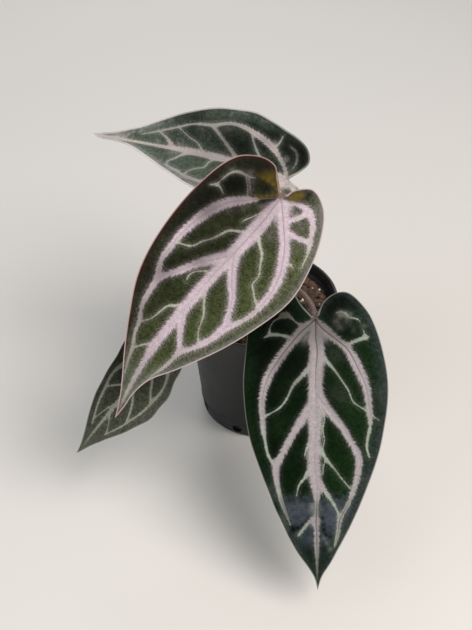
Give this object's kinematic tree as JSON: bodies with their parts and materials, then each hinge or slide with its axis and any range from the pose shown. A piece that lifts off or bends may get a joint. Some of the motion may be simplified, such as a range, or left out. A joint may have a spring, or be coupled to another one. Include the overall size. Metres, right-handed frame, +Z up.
{
  "type": "potted anthurium hybrid",
  "caption": "Young velvet-leaved anthurium hybrid with heart-shaped leaves on arching petioles, rising from a short stem in bark mix in a plain round nursery pot.",
  "frame": {"origin": "middle of the pot's base, on the surface that the pot stands on", "axes": "+Z up along the pot's axis; the two largest leaves lean towards -Y, which is the plant's front, and +X is to the right as seen from the front"},
  "size_m": [0.1746, 0.2288, 0.2104],
  "materials": {
    "nursery_pot": "injection-moulded black polypropylene, satin, with fine moulding marks",
    "potting_mix": "chipped fir bark and fine fibre with grains of white perlite",
    "stem": "green-brown stem skin with leaf scars",
    "dried_bract": "papery reddish-brown dried bract with fibres",
    "new_leaf": "smooth bronze-pink rolled young leaf",
    "petiole": "smooth green petiole flushed with pink",
    "velvet_leaf": "dark green velvet leaf with broad silver-pink veins, paler below"
  },
  "bodies": {
    "root": {"nursery_pot": "nursery_pot", "potting_mix": "potting_mix", "stem": "stem", "growing_tip": "new_leaf", "bract_front": "dried_bract", "bract_back": "dried_bract", "leaf_a_petiole": "petiole", "leaf_a_blade": "velvet_leaf", "leaf_b_petiole": "petiole", "leaf_b_blade": "velvet_leaf", "leaf_c_petiole": "petiole", "leaf_c_blade": "velvet_leaf", "leaf_d_petiole": "petiole", "leaf_d_blade": "velvet_leaf"}
  },
  "joints": []
}
